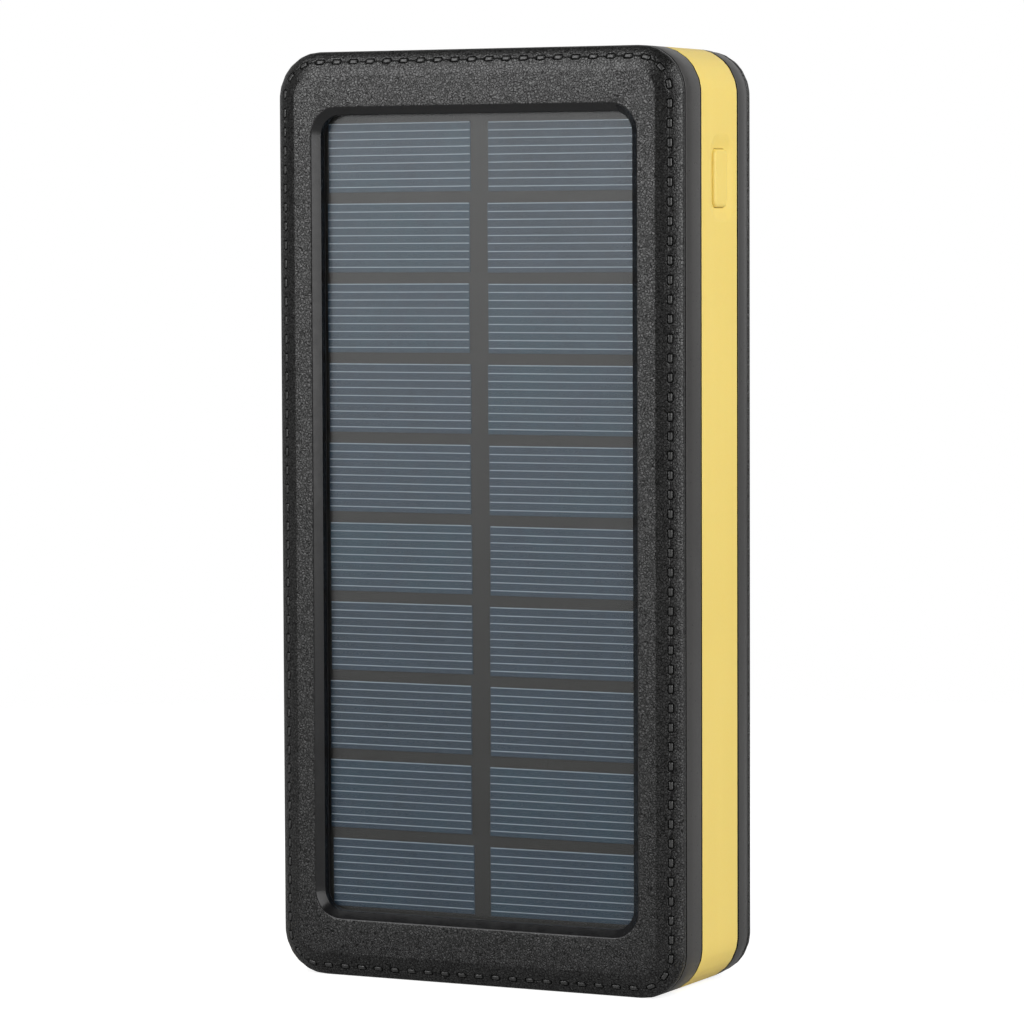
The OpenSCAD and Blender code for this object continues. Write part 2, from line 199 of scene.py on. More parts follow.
class Outline:
    """The same points round any rounded rectangle: two signs for the corner's middle, and an angle."""

    def __init__(self, sx, sz, angle):
        self.sx, self.sz, self.angle = sx, sz, angle
        self.c, self.s = np.cos(angle), np.sin(angle)

    def every(self, step):
        return Outline(self.sx[::step], self.sz[::step], self.angle[::step])

    def flat(self, half_w, half_h, r):
        r = min(r, half_w, half_h)
        return self.sx * (half_w - r) + r * self.c, self.sz * (half_h - r) + r * self.s


def outline_at(s, half_w, half_h, r):
    """Outline through arc lengths s of a rounded rectangle, from the middle of its top towards -X."""
    hx, hz, arc = half_w - r, half_h - r, math.pi / 2 * r
    sx, sz, angle = np.zeros(len(s)), np.zeros(len(s)), np.zeros(len(s))
    total = 4 * hx + 4 * hz + 4 * arc
    s = np.mod(s, total)
    legs = [("top", hx), ("tl", arc), ("left", 2 * hz), ("bl", arc), ("bottom", 2 * hx),
            ("br", arc), ("right", 2 * hz), ("tr", arc), ("end", hx)]
    start = 0
    for leg, length in legs:
        inside = (s >= start) & (s <= start + length + 1e-9)
        u = (s[inside] - start) / max(length, 1e-9)
        if leg == "top":
            sx[inside], sz[inside], angle[inside] = -u, 1, math.pi / 2
        elif leg == "left":
            sx[inside], sz[inside], angle[inside] = -1, 1 - 2 * u, math.pi
        elif leg == "bottom":
            sx[inside], sz[inside], angle[inside] = -1 + 2 * u, -1, 1.5 * math.pi
        elif leg == "right":
            sx[inside], sz[inside], angle[inside] = 1, -1 + 2 * u, 2 * math.pi
        elif leg == "end":
            sx[inside], sz[inside], angle[inside] = 1 - u, 1, 2.5 * math.pi
        else:
            cx, cz, begin = {"tl": (-1, 1, 1), "bl": (-1, -1, 2), "br": (1, -1, 3), "tr": (1, 1, 4)}[leg]
            sx[inside], sz[inside] = cx, cz
            angle[inside] = (begin + u) * math.pi / 2
        start += length
    return Outline(sx, sz, angle)


def small_outline(n_arc=8, n_flat=3):
    """Outline for small rounded shapes, with even points on its arcs and flats."""
    sx, sz, angle = [], [], []
    for k, (cx, cz) in enumerate([(1, 1), (-1, 1), (-1, -1), (1, -1)]):
        for i in range(n_arc):
            sx.append(cx)
            sz.append(cz)
            angle.append((k + i / n_arc) * math.pi / 2)
        nx, nz = [(-1, 1), (-1, -1), (1, -1), (1, 1)][k]
        for i in range(n_flat):
            u = i / n_flat
            sx.append(cx + (nx - cx) * u)
            sz.append(cz + (nz - cz) * u)
            angle.append((k + 1) * math.pi / 2)
    return Outline(np.array(sx, float), np.array(sz, float), np.array(angle))


SMALL = small_outline()


def side_ring(x, half_d, half_h, r, y_mid, z_mid):
    """Ring in the YZ plane at x."""
    y, z = SMALL.flat(half_d, half_h, r)
    return np.stack([np.full(len(y), x), y + y_mid, z + z_mid], 1)


def top_ring(z, half_w, half_d, r, x_mid, y_mid):
    """Ring in the XY plane at z."""
    x, y = SMALL.flat(half_w, half_d, r)
    return np.stack([x + x_mid, y + y_mid, np.full(len(x), z)], 1)


def front_ring(y, half_w, half_h, r, x_mid, z_mid, shape=SMALL):
    """Ring in the XZ plane at y."""
    x, z = shape.flat(half_w, half_h, r)
    return np.stack([x + x_mid, np.full(len(x), y), z + z_mid], 1)


def closed(name, rings, material):
    """Closed piece through rings, with flat ends."""
    loft = Loft()
    loft.ring(rings[0])
    for points in rings[1:]:
        loft.add(points)
    loft.cap(0)
    loft.cap(len(rings) - 1)
    return loft.build(name, [material])


def join(name, objects):
    """One object out of several, with their materials."""
    bm = bmesh.new()
    materials = []
    for obj in objects:
        part = obj.data.copy()
        shift = len(materials)
        for m in obj.data.materials:
            materials.append(m)
        start = len(bm.faces)
        bm.from_mesh(part)
        bm.faces.ensure_lookup_table()
        for face in bm.faces[start:]:
            face.material_index += shift
        bpy.data.objects.remove(obj)
    mesh = bpy.data.meshes.new(name)
    bm.to_mesh(mesh)
    bm.free()
    unique = []
    remap = []
    for m in materials:
        if m not in unique:
            unique.append(m)
        remap.append(unique.index(m))
    index = np.zeros(len(mesh.polygons), np.int32)
    mesh.polygons.foreach_get("material_index", index)
    mesh.materials.clear()
    for m in unique:
        mesh.materials.append(m)
    mesh.polygons.foreach_set("material_index", np.array(remap, np.int32)[index])
    out = bpy.data.objects.new(name, mesh)
    bpy.context.scene.collection.objects.link(out)
    return out


def cut(obj, cutters):
    """Takes the cutters out of obj and removes them."""
    for cutter in cutters:
        mod = obj.modifiers.new("cut", "BOOLEAN")
        mod.operation, mod.solver, mod.object = "DIFFERENCE", "EXACT", cutter
    bpy.context.view_layer.update()
    dg = bpy.context.evaluated_depsgraph_get()
    mesh = bpy.data.meshes.new_from_object(obj.evaluated_get(dg), depsgraph=dg)
    obj.modifiers.clear()
    old = obj.data
    obj.data = mesh
    bpy.data.meshes.remove(old)
    for cutter in cutters:
        bpy.data.objects.remove(cutter)


# ---------------------------------------------------------------- materials
class Nodes:
    """Short names for making shader nodes."""

    def __init__(self, name):
        self.material = bpy.data.materials.new(name)
        self.material.use_nodes = True
        self.tree = self.material.node_tree
        self.shader = self.tree.nodes["Principled BSDF"]
        self.output = self.tree.nodes["Material Output"]
        self.coords = self.add("ShaderNodeTexCoord").outputs["Object"]

    def add(self, kind, **settings):
        node = self.tree.nodes.new(kind)
        for key, value in settings.items():
            setattr(node, key, value)
        return node

    def link(self, a, b):
        self.tree.links.new(a, b)

    def feed(self, node, **inputs):
        for key, value in inputs.items():
            socket = node.inputs[key.replace("_", " ")]
            if isinstance(value, bpy.types.NodeSocket):
                self.link(value, socket)
            else:
                socket.default_value = value

    def noise(self, scale, detail=3, rough=0.5, distort=0.0, coords=None):
        node = self.add("ShaderNodeTexNoise")
        self.feed(node, Vector=coords or self.coords, Scale=scale, Detail=detail, Roughness=rough,
                  Distortion=distort)
        return node.outputs["Fac"]

    def stretch(self, x, y, z):
        node = self.add("ShaderNodeMapping")
        self.feed(node, Vector=self.coords, Scale=(x, y, z))
        return node.outputs["Vector"]

    def ramp(self, fac, stops):
        node = self.add("ShaderNodeValToRGB")
        self.link(fac, node.inputs["Fac"])
        elements = node.color_ramp.elements
        while len(elements) < len(stops):
            elements.new(0.5)
        for element, (at, colour) in zip(elements, stops, strict=True):
            element.position = at
            element.color = (*colour, 1)
        return node.outputs["Color"]

    def span(self, fac, low, high, from_low=0.3, from_high=0.7):
        """Maps from_low..from_high, the middle of a noise, onto low..high."""
        node = self.add("ShaderNodeMapRange")
        self.feed(node, Value=fac)
        node.inputs["From Min"].default_value = from_low
        node.inputs["From Max"].default_value = from_high
        node.inputs["To Min"].default_value = low
        node.inputs["To Max"].default_value = high
        return node.outputs["Result"]

    def math(self, operation, a, b=0.0, clamp=False):
        node = self.add("ShaderNodeMath", operation=operation, use_clamp=clamp)
        for socket, value in zip(node.inputs, (a, b), strict=False):
            if isinstance(value, bpy.types.NodeSocket):
                self.link(value, socket)
            else:
                socket.default_value = value
        return node.outputs["Value"]

    def mix(self, fac, a, b):
        node = self.add("ShaderNodeMix", data_type="RGBA")
        for socket, value in ((node.inputs[0], fac), (node.inputs[6], a), (node.inputs[7], b)):
            if isinstance(value, bpy.types.NodeSocket):
                self.link(value, socket)
            else:
                socket.default_value = value if isinstance(value, float) else (*value, 1)
        return node.outputs[2]

    def attribute(self, name):
        return self.add("ShaderNodeAttribute", attribute_name=name).outputs["Fac"]

    def bump(self, height, distance, strength=1.0, normal=None):
        node = self.add("ShaderNodeBump")
        self.feed(node, Height=height, Distance=distance, Strength=strength)
        if normal is not None:
            self.link(normal, node.inputs["Normal"])
        return node.outputs["Normal"]


def linear(r, g, b):
    """Linear colour from the usual 0 to 255 values."""
    return tuple((c / 255 / 12.92 if c <= 10.3 else ((c / 255 + 0.055) / 1.055) ** 2.4)
                 for c in (r, g, b))


def scaled(colour, k):
    return tuple(min(1.0, c * k) for c in colour)


def moulded(name, colour, rough=0.5, spread=0.12, tone=0.1, scale=900, height=1.5e-5, fine=6000,
            stretch=None, **sockets):
    """Material with tone, roughness and surface that vary: moulded, rolled, painted or brushed."""
    n = Nodes(name)
    coords = n.stretch(*stretch) if stretch else None
    soft = n.noise(scale * 0.12, 3, coords=coords)
    grain = n.noise(scale, 4, 0.6, coords=coords)
    speck = n.noise(fine, 2, 0.5, coords=coords)
    base = n.ramp(soft, [(0.3, scaled(colour, 1 - tone)), (0.7, scaled(colour, 1 + tone))])
    base = n.mix(0.35, base, n.ramp(grain, [(0.3, scaled(colour, 1 - tone)),
                                            (0.7, scaled(colour, 1 + tone))]))
    n.feed(n.shader, Base_Color=base,
           Roughness=n.span(grain, max(0.02, rough - spread), min(1, rough + spread)),
           Normal=n.bump(speck, height * 0.4, 0.6, n.bump(grain, height, 0.7)))
    for key, value in sockets.items():
        n.shader.inputs[key.replace("_", " ")].default_value = value
    return n.material


# Leather: noise scales, shares of the grain, how far a pad is smoothed, and relief in metres
PEBBLE_SCALE, RIDGE_SCALE, RIDGE_TURNS = 2000, 880, 8
GRAIN_PARTS = (0.5, 0.38, 0.12)
PAD_SMOOTHING = 0.55
LEATHER_RELIEF, LEATHER_FINE_RELIEF = 2.6e-5, 0.8e-5
# Clear sheet: its tint, the tint of its shine, and the share of shine seen from straight above
SHEET_TINT, SHINE_TINT = (0.97, 0.985, 0.98, 1), (0.535, 0.535, 0.545, 1)
SHINE_HEAD_ON = 0.04
SHINE_POWER = 5.0


def leather_material():
    """Fine wandering ridges, with painted highlight on their crests and painted shade in the creases."""
    n = Nodes("grained_leather_look")
    wander = n.math("MULTIPLY", n.noise(RIDGE_SCALE, 0.0, 0.5, 0.3), RIDGE_TURNS * 2 * math.pi)
    wander = n.math("ADD", wander, n.math("MULTIPLY", n.noise(2600, 1.0), 3.0))
    ridges = n.math("ADD", n.math("MULTIPLY", n.math("SINE", wander), 0.5), 0.5)
    plates = n.add("ShaderNodeTexVoronoi", feature="DISTANCE_TO_EDGE")
    n.feed(plates, Vector=n.coords, Scale=PEBBLE_SCALE)
    pebble = n.span(plates.outputs["Distance"], 0, 1, 0.02, 0.3)
    pebble_part, ridge_part, cloud_part = GRAIN_PARTS
    grain = n.math("ADD", n.math("MULTIPLY", pebble, pebble_part),
                   n.math("MULTIPLY", ridges, ridge_part))
    grain = n.math("ADD", grain, n.math("MULTIPLY", n.noise(420, 3), cloud_part))
    pad = n.attribute("pad")
    moat = n.attribute("moat")
    keep = n.math("SUBTRACT", 1.0, n.math("MULTIPLY", pad, PAD_SMOOTHING), clamp=True)
    normal = n.bump(n.math("MULTIPLY", grain, keep), LEATHER_RELIEF, 1.0)
    normal = n.bump(n.noise(7000, 2), LEATHER_FINE_RELIEF, 0.5, normal)
    # Painted shade in the creases and painted highlight on the crests: the tone follows the grain's
    # relief
    tone = n.ramp(grain, [(0.1, (0.0015, 0.0015, 0.0015)), (0.9, (0.014, 0.014, 0.0138))])
    tone = n.mix(n.span(n.noise(60, 4), 0.0, 0.3), tone, (0.012, 0.0118, 0.0112))
    tone = n.mix(pad, tone, (0.026, 0.026, 0.0255))
    # Painted shade in the grooves round the pads and along the thread
    tone = n.mix(moat, tone, (0.002, 0.002, 0.002))
    rough = n.span(grain, 0.34, 0.25, 0.1, 0.9)
    rough = n.math("ADD", rough, n.math("MULTIPLY", moat, 0.35))
    relief = n.math("ADD", n.math("MULTIPLY", grain, keep), n.math("MULTIPLY", pad, 0.45))
    level = n.span(n.math("SUBTRACT", relief, moat), 0.14, 0.92, 0.13, 0.83)
    n.feed(n.shader, Base_Color=tone, Roughness=rough, Normal=normal, Specular_IOR_Level=level)
    return n.material


def yellow_material():
    n = Nodes("yellow_band_plastic")
    soft = n.noise(24, 3)
    grain = n.noise(2600, 3, 0.6)
    speck = n.noise(9000, 2)
    base = n.ramp(soft, [(0.3, linear(233, 206, 108)), (0.7, linear(236, 210, 114))])
    flow = n.noise(1.0, 2, coords=n.stretch(6, 160, 6))
    base = n.mix(n.span(flow, 0.0, 0.14), base, linear(222, 192, 96))
    n.feed(n.shader, Base_Color=base, Roughness=n.span(grain, 0.38, 0.5),
           Normal=n.bump(speck, 4e-6, 0.4, n.bump(grain, 1.2e-5, 0.5)))
    n.shader.inputs["Subsurface Weight"].default_value = 0.12
    n.shader.inputs["Subsurface Radius"].default_value = (0.0016, 0.001, 0.0004)
    n.shader.inputs["Subsurface Scale"].default_value = 1.0
    return n.material


def silicon_material():
    n = Nodes("silicon_cells")
    tone = n.attribute("tone")
    cloud = n.noise(70, 4, 0.6, 0.8)
    fine = n.noise(1400, 3, 0.6)
    crystals = n.add("ShaderNodeTexVoronoi")
    n.feed(crystals, Vector=n.coords, Scale=420)
    base = n.ramp(n.math("ADD", n.math("MULTIPLY", cloud, 0.7), n.math("MULTIPLY", tone, 0.3)),
                  [(0.3, linear(36, 54, 70)), (0.5, linear(43, 61, 79)), (0.72, linear(37, 66, 82))])
    base = n.mix(n.span(crystals.outputs["Distance"], 0.0, 0.18, 0.1, 0.8), base, linear(54, 73, 91))
    base = n.mix(n.span(fine, 0.0, 0.2), base, linear(30, 37, 46))
    n.feed(n.shader, Base_Color=base, Roughness=n.span(fine, 0.42, 0.6),
           Normal=n.bump(fine, 6e-6, 0.5))
    n.shader.inputs["Specular IOR Level"].default_value = 0.2
    return n.material


def sheet_material():
    """Clear top sheet: lamps pass through it, and it adds its own soft shine."""
    n = Nodes("clear_top_sheet")
    n.tree.nodes.remove(n.shader)
    clear = n.add("ShaderNodeBsdfTransparent")
    clear.inputs["Color"].default_value = SHEET_TINT
    gloss = n.add("ShaderNodeBsdfAnisotropic")
    wave = n.bump(n.noise(45, 3, 0.5, 1.0), 0.00006, 0.4, n.bump(n.noise(1500, 2), 3e-6, 0.3))
    n.feed(gloss, Roughness=n.span(n.noise(55, 3, 0.5, 1.2), 0.27, 0.31), Normal=wave)
    gloss.inputs["Color"].default_value = SHINE_TINT
    # A Fresnel node turns the sheet's inner faces into mirrors at low angles, which hides the cells.
    # Facing is the same on both sides of a face.
    layer = n.add("ShaderNodeLayerWeight")
    layer.inputs["Blend"].default_value = 0.5
    grazing = n.math("POWER", layer.outputs["Facing"], SHINE_POWER)
    share = n.math("ADD", n.math("MULTIPLY", grazing, 1 - SHINE_HEAD_ON), SHINE_HEAD_ON)
    mix = n.add("ShaderNodeMixShader")
    n.link(share, mix.inputs[0])
    n.link(clear.outputs[0], mix.inputs[1])
    n.link(gloss.outputs[0], mix.inputs[2])
    n.link(mix.outputs[0], n.output.inputs["Surface"])
    return n.material


LEATHER = leather_material()
STRIP = moulded("black_side_strip", (0.034, 0.033, 0.032), 0.32, 0.05, 0.1, 1600, 0.8e-5)
BEVEL = moulded("black_window_bevel", (0.004, 0.004, 0.0045), 0.2, 0.04, 0.12, 700, 0.5e-5)
# Near-black, rough and nearly unshiny: painted shade in the seam rebates and in the groove under the
# front cover's rolled edge
SEAM_SHADE = moulded("painted_seam_shade", (0.0015, 0.0015, 0.0015), 0.9, 0.05, 0.1, 900, 1e-5,
                 Specular_IOR_Level=0.05)
INSIDE = moulded("black_inside", (0.012, 0.012, 0.012), 0.6, 0.08, 0.15, 900, 2e-5)
YELLOW = yellow_material()
SILICON = silicon_material()
SHEET = sheet_material()
SILVER = moulded("silver_finger_lines", linear(150, 160, 172), 0.42, 0.08, 0.06, 2400, 0.4e-5,
                 Metallic=0.25)


# ---------------------------------------------------------------- covers
class Roll:
    """Section of the rolled edge: inset and depth against the way from the flat face."""

    def __init__(self, width, depth):
        self.way = np.linspace(0, ROLL_WAY[-1], 600)
        lean = np.radians(np.interp(self.way, ROLL_WAY, ROLL_LEAN))
        step = self.way[1]
        out = np.concatenate([[0], np.cumsum(np.cos(lean[1:]) * step)])
        down = np.concatenate([[0], np.cumsum(np.sin(lean[1:]) * step)])
        self.inset = width * (1 - out / out[-1])
        self.depth = depth * down / down[-1]
        self.lean = np.arctan2(np.gradient(self.depth), -np.gradient(self.inset))

    def at(self, way):
        return tuple(np.interp(way, self.way, v) for v in (self.inset, self.depth, self.lean))

    def way_at(self, inset):
        return float(np.interp(-inset, -self.inset, self.way))


def stitch_outline():
    """Fine outline, 16 points a stitch, along the middle of the stitch row."""
    half_w, half_h, r = SIDE - STITCH_INSET, HEIGHT / 2 - STITCH_INSET, CORNER_R - STITCH_INSET
    total = 4 * (half_w - r) + 4 * (half_h - r) + 2 * math.pi * r
    pitch = total / STITCHES
    offsets = np.array(sorted({o for a in ALONG for o in (a, -a)} | {pitch / 2}))
    along = np.arange(STITCHES)[:, None] * pitch + offsets[None, :]
    phase = np.broadcast_to(offsets[None, :], along.shape).ravel()
    return outline_at(along.ravel() - STITCH_START, half_w, half_h, r), phase


FINE, PHASE = stitch_outline()
COARSE = FINE.every(4)


def case_outline(inset, outline=COARSE):
    """X and Z round the case's side, moved in by an inset."""
    r = CORNER_R - inset
    return (outline.sx * (SIDE - CORNER_R) + r * outline.c,
            outline.sz * (HEIGHT / 2 - CORNER_R) + r * outline.s + MID_Z)


def stitch_shape(across, phase):
    """Height over the leather, and masks for the pads and for the grooves round them; the groove mask
    also paints shade into the grooves.
    """
    a, b, r = PAD
    along = np.abs(phase)
    qx, qy = along - a + r, np.abs(across) - b + r
    outside = np.hypot(np.maximum(qx, 0), np.maximum(qy, 0)) + np.minimum(np.maximum(qx, qy), 0) - r
    pad = smoothstep(-outside / 0.15)
    moat = np.where(outside > 0, smoothstep(1 - np.abs(outside - MOAT_W / 2) / (MOAT_W / 2)), 0.0)
    thread = smoothstep(1 - np.abs(across) / THREAD_W) * (outside > 0)
    height = PAD_RISE * pad - np.maximum(MOAT_D * moat, THREAD_D * thread)
    return height, pad, np.maximum(moat, 0.7 * thread)


# Material index of each part of a cover
COVER_MATERIALS = [LEATHER, STRIP, BEVEL, INSIDE, SEAM_SHADE]
M_LEATHER, M_STRIP, M_BEVEL, M_INSIDE, M_SEAM_SHADE = range(5)
COVER_SHARP = 40


def cover_rings(loft, seam, sign, draft):
    """Rings of a cover from its seam to the flat of its face.

    sign is 1 for the front cover, whose face looks to -Y, and -1 for the rear cover.
    """
    face = FRONT if sign > 0 else BACK
    depth = abs(seam - face)

    def ring(inset, d, outline=COARSE, rise=0.0, lean=0.0):
        x, z = case_outline(inset, outline)
        x = x + rise * math.sin(lean) * outline.c
        z = z + rise * math.sin(lean) * outline.s
        y = face + sign * (d - rise * math.cos(lean))
        return np.stack([x, np.broadcast_to(y, x.shape), z], 1)

    gap = 0.0 if sign > 0 else REAR_GAP
    # The front cover's groove under the rolled edge is painted near black as shade
    groove = M_SEAM_SHADE if sign > 0 else M_STRIP
    # Inset, depth below the face and material, from the seam to the groove under the rolled edge
    side = [(SEAM_D, depth, M_INSIDE), (SEAM_D, depth - gap - 0.01, M_SEAM_SHADE),
            (0.07, depth - gap - 0.01, M_SEAM_SHADE), (0.02, depth - gap - 0.06, M_STRIP),
            (0.0, depth - gap - 0.16, M_STRIP), (draft * 0.33, depth * 0.66, M_STRIP),
            (draft, ROLL_D + 0.48, M_STRIP), (draft + 0.04, ROLL_D + 0.4, M_STRIP),
            (draft + 0.12, ROLL_D + 0.36, groove), (draft + 0.36, ROLL_D + 0.34, groove),
            (draft + 0.36, ROLL_D + 0.16, groove), (draft + 0.1, ROLL_D + 0.1, groove),
            (draft + 0.03, ROLL_D + 0.04, M_LEATHER)]
    loft.ring(ring(WALL + LIP_IN, depth))
    for inset, d, material in side:
        loft.add(ring(inset, d), material)
    roll = Roll(ROLL_W - draft, ROLL_D)
    middle = roll.way_at(STITCH_INSET - draft)
    across = np.array(sorted({o for a in ACROSS for o in (a, -a)}))
    for way in (5.5, 5.3, 5.2, 5.1, 5.0, 4.9, 4.8, 4.65, 4.5, middle + 1.0):
        inset, d, _ = roll.at(way)
        loft.add(ring(inset + draft, d))
    for v in across:
        inset, d, lean = roll.at(middle - v)
        height, pad, moat = stitch_shape(v, PHASE)
        loft.add(ring(inset + draft, d, FINE, height, lean), M_LEATHER, pad=pad, moat=moat)
    for way in (middle - 1.3, 1.4, 0.9, 0.55, 0.35, 0.2, 0.1, 0.0):
        inset, d, _ = roll.at(way)
        loft.add(ring(inset + draft, d))


def lip_rings(loft, seam, sign):
    """Inside of a cover, from its plate's back face along the wall to the lip and the first ring."""
    face = FRONT if sign > 0 else BACK
    depth = abs(seam - face)
    wall = [(WALL + 0.6, PLATE), (WALL, PLATE + 0.6), (WALL, depth - 2.0),
            (WALL + LIP_IN + LIP_T, depth - 1.4),
            (WALL + LIP_IN + LIP_T, depth + LIP_H - 0.2), (WALL + LIP_IN + LIP_T - 0.2, depth + LIP_H),
            (WALL + LIP_IN + 0.2, depth + LIP_H), (WALL + LIP_IN, depth + LIP_H - 0.2)]
    for inset, d in wall:
        x, z = case_outline(inset)
        loft.add(np.stack([x, np.full(len(x), face + sign * d), z], 1), M_INSIDE)
    loft.bridge(len(loft.rings) - 1, 0, M_INSIDE)


def front_cover():
    loft = Loft()
    cover_rings(loft, SEAM_FRONT, 1, 0.0)

    def window(grow, d):
        half_w, half_h, r = WINDOW
        x, z = COARSE.flat(half_w + grow, half_h + grow, r + grow)
        return np.stack([x, np.full(len(x), FRONT + d), z + WINDOW_Z], 1)

    outer, edge = loft.verts[-1], window(0.25, 0)
    for u in (0.33, 0.66):
        loft.add(outer * (1 - u) + edge * u)
    wall = BEVEL_W + 0.03
    rim_back = PANEL_Y - FRONT - TAPE_T
    for grow, d, material in [
            (0.3, 0, M_LEATHER), (0.12, 0.01, M_LEATHER), (0.03, 0.05, M_BEVEL),
            (-0.03, 0.12, M_BEVEL), (-BEVEL_W + 0.05, BEVEL_D - 0.05, M_BEVEL),
            (-BEVEL_W, BEVEL_D, M_BEVEL), (-wall, BEVEL_D + 0.12, M_BEVEL),
            (-wall, rim_back - 0.05, M_BEVEL), (-BEVEL_W + 0.03, rim_back, M_INSIDE),
            (-BEVEL_W + RIM_W, rim_back, M_INSIDE), (-BEVEL_W + RIM_W, PLATE, M_INSIDE)]:
        loft.add(window(grow, d), material)
    lip_rings(loft, SEAM_FRONT, 1)
    obj = loft.build("front_cover_skin", COVER_MATERIALS, COVER_SHARP)
    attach(obj, "case")
    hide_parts("front_cover")


def rear_cover():
    loft = Loft()
    cover_rings(loft, SEAM_REAR, -1, REAR_DRAFT)

    def flat(inset, y):
        x, z = COARSE.flat(SIDE - inset, HEIGHT / 2 - inset, CORNER_R - ROLL_W)
        return np.stack([x, np.full(len(x), y), z + MID_Z], 1)

    for inset in (6, 12, 20, 30):
        loft.add(flat(inset, BACK))
    loft.cap(len(loft.rings) - 1)
    inner = loft.ring(flat(12, BACK - PLATE))
    loft.cap(inner, M_INSIDE)
    lip_rings(loft, SEAM_REAR, -1)
    obj = loft.build("rear_cover_skin", COVER_MATERIALS, COVER_SHARP)
    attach(obj, "case")
    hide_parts("rear_cover")


# ---------------------------------------------------------------- band and button
# Half depth, half height and corner radius of the button
BUTTON = (2.8, 5.1, 1.2)
SLOT_GAP = 0.08
# Ledges under the main board: places up the case, inner end, half height and thickness
LEDGE_Z, LEDGE_X, LEDGE_HALF, LEDGE_T = (126.5, 153.5), 29.5, 3, 1.8
USB_A_X, USB_C_X, TORCH_X = (18.5, 2.0), -11.5, -24.5
# Flare, half width, half depth and corner radius of each opening in the top end
USB_A_HOLE = (0.3, 6.85, 3.15, 0.6)
USB_C_HOLE = (0.3, 4.77, 1.88, 1.87)
TORCH_HOLE = (0.3, 5.5, 3.5, 2.0)
LIGHT_R = 0.85
LIGHT_Z = (137.6, 141.1, 144.6, 148.1)


def button_rings(growths):
    """Rings with the button's outline, each at an x and grown by g."""
    half_d, half_h, r = BUTTON
    return [side_ring(x, half_d + g, half_h + g, r + g, BUTTON_Y, BUTTON_Z) for x, g in growths]


def block(name, corner, far, material):
    """Box with slightly rounded long edges, between two corners."""
    (x0, y0, z0), (x1, y1, z1) = corner, far
    rings = [front_ring(y, (x1 - x0) / 2, (z1 - z0) / 2, 0.15, (x0 + x1) / 2, (z0 + z1) / 2)
             for y in (y0, y1)]
    return closed(name, rings, material)


def inner_ribs():
    """Cross wall between the cells and the board, and the ledges that hold the board's screws."""
    inner = SIDE - WALL + 0.05
    wall_z = mm_box("protection_board")[0][2] + 2.6
    wall = block("cross_wall", (-inner, SEAM_FRONT + 2.4, wall_z),
                 (inner, SEAM_REAR - 2.4, wall_z + 1.2), YELLOW)
    cut(wall, [block("cut_wall", (-12, BAND_Y - 3, wall_z - 1), (12, BAND_Y + 4, wall_z + 3), YELLOW)])
    board_rear = mm_box("main_board")[1][1]
    ledges = []
    for side in (-1, 1):
        x0, x1 = sorted((side * LEDGE_X, side * inner))
        for z in LEDGE_Z:
            ledges.append(block("ledge" + str(len(ledges)), (x0, board_rear, z - LEDGE_HALF),
                                (x1, board_rear + LEDGE_T, z + LEDGE_HALF), YELLOW))
    return [wall, *ledges]


def mid_frame():
    loft = Loft()
    front, rear = SEAM_FRONT + SEAM_GAP[0], SEAM_REAR - SEAM_GAP[1]
    # Inset, y and material index: 0 is yellow and 1 the painted shade in the rebate
    profile = [(WALL, SEAM_FRONT, 0), (SEAM_D, SEAM_FRONT, 1), (SEAM_D, front, 1), (0.07, front, 0),
               (0.02, front + 0.05, 0), (0.0, front + 0.16, 0), (0.0, front + 3, 0),
               (0.0, rear - 3, 0), (0.0, rear - 0.25, 0), (0.02, rear - 0.12, 0), (0.1, rear - 0.03, 0),
               (0.3, rear, 1), (SEAM_D, rear, 1), (SEAM_D, SEAM_REAR, 0), (WALL, SEAM_REAR, 0)]
    for inset, y, _ in profile:
        x, z = case_outline(inset)
        loft.ring(np.stack([x, np.full(len(x), y), z], 1))
    for k, (_, _, material) in enumerate(profile):
        loft.bridge(k, (k + 1) % len(profile), material)
    body = loft.build("yellow_band", [YELLOW, SEAM_SHADE])

    def opening(name, hole, x_mid, y_mid):
        flare, half_w, half_d, r = hole
        rings = [top_ring(z, half_w + g, half_d + g, r + g, x_mid, y_mid)
                 for z, g in ((HEIGHT - 2 * WALL, 0), (HEIGHT - flare, 0), (HEIGHT, flare),
                              (HEIGHT + 1, flare + 1))]
        return closed(name, rings, YELLOW)

    usb_c = mm_box("usb_c_shell")
    usb_c_y = (usb_c[0][1] + usb_c[1][1]) / 2
    cutters = [opening("cut_a" + str(k), USB_A_HOLE, x, BAND_Y) for k, x in enumerate(USB_A_X)]
    cutters.append(opening("cut_c", USB_C_HOLE, USB_C_X, usb_c_y))
    cutters.append(opening("cut_torch", TORCH_HOLE, TORCH_X, BAND_Y))
    for k, z in enumerate(LIGHT_Z):
        rings = [side_ring(x, LIGHT_R + g, LIGHT_R + g, LIGHT_R + g, BAND_Y, z)
                 for x, g in ((-SIDE + 2 * WALL, 0), (-SIDE + 0.2, 0), (-SIDE, 0.2), (-SIDE - 1, 1.2))]
        cutters.append(closed("cut_light" + str(k), rings, YELLOW))
    slot = button_rings([(SIDE - 2 * WALL, SLOT_GAP), (SIDE - 0.62, SLOT_GAP), (SIDE - 0.6, 0.14),
                         (SIDE - 0.52, 0.5), (SIDE - 0.38, 1.0), (SIDE - 0.2, 1.6), (SIDE - 0.08, 2.05),
                         (SIDE - 0.02, 2.4), (SIDE + 0.01, 2.8), (SIDE + 1, 2.9)])
    cutters.append(closed("cut_button", slot, YELLOW))
    cut(body, cutters)
    body = join("yellow_band", [body, *inner_ribs()])
    shade(body.data, SHARP)
    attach(body, "case")
    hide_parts("mid_frame")


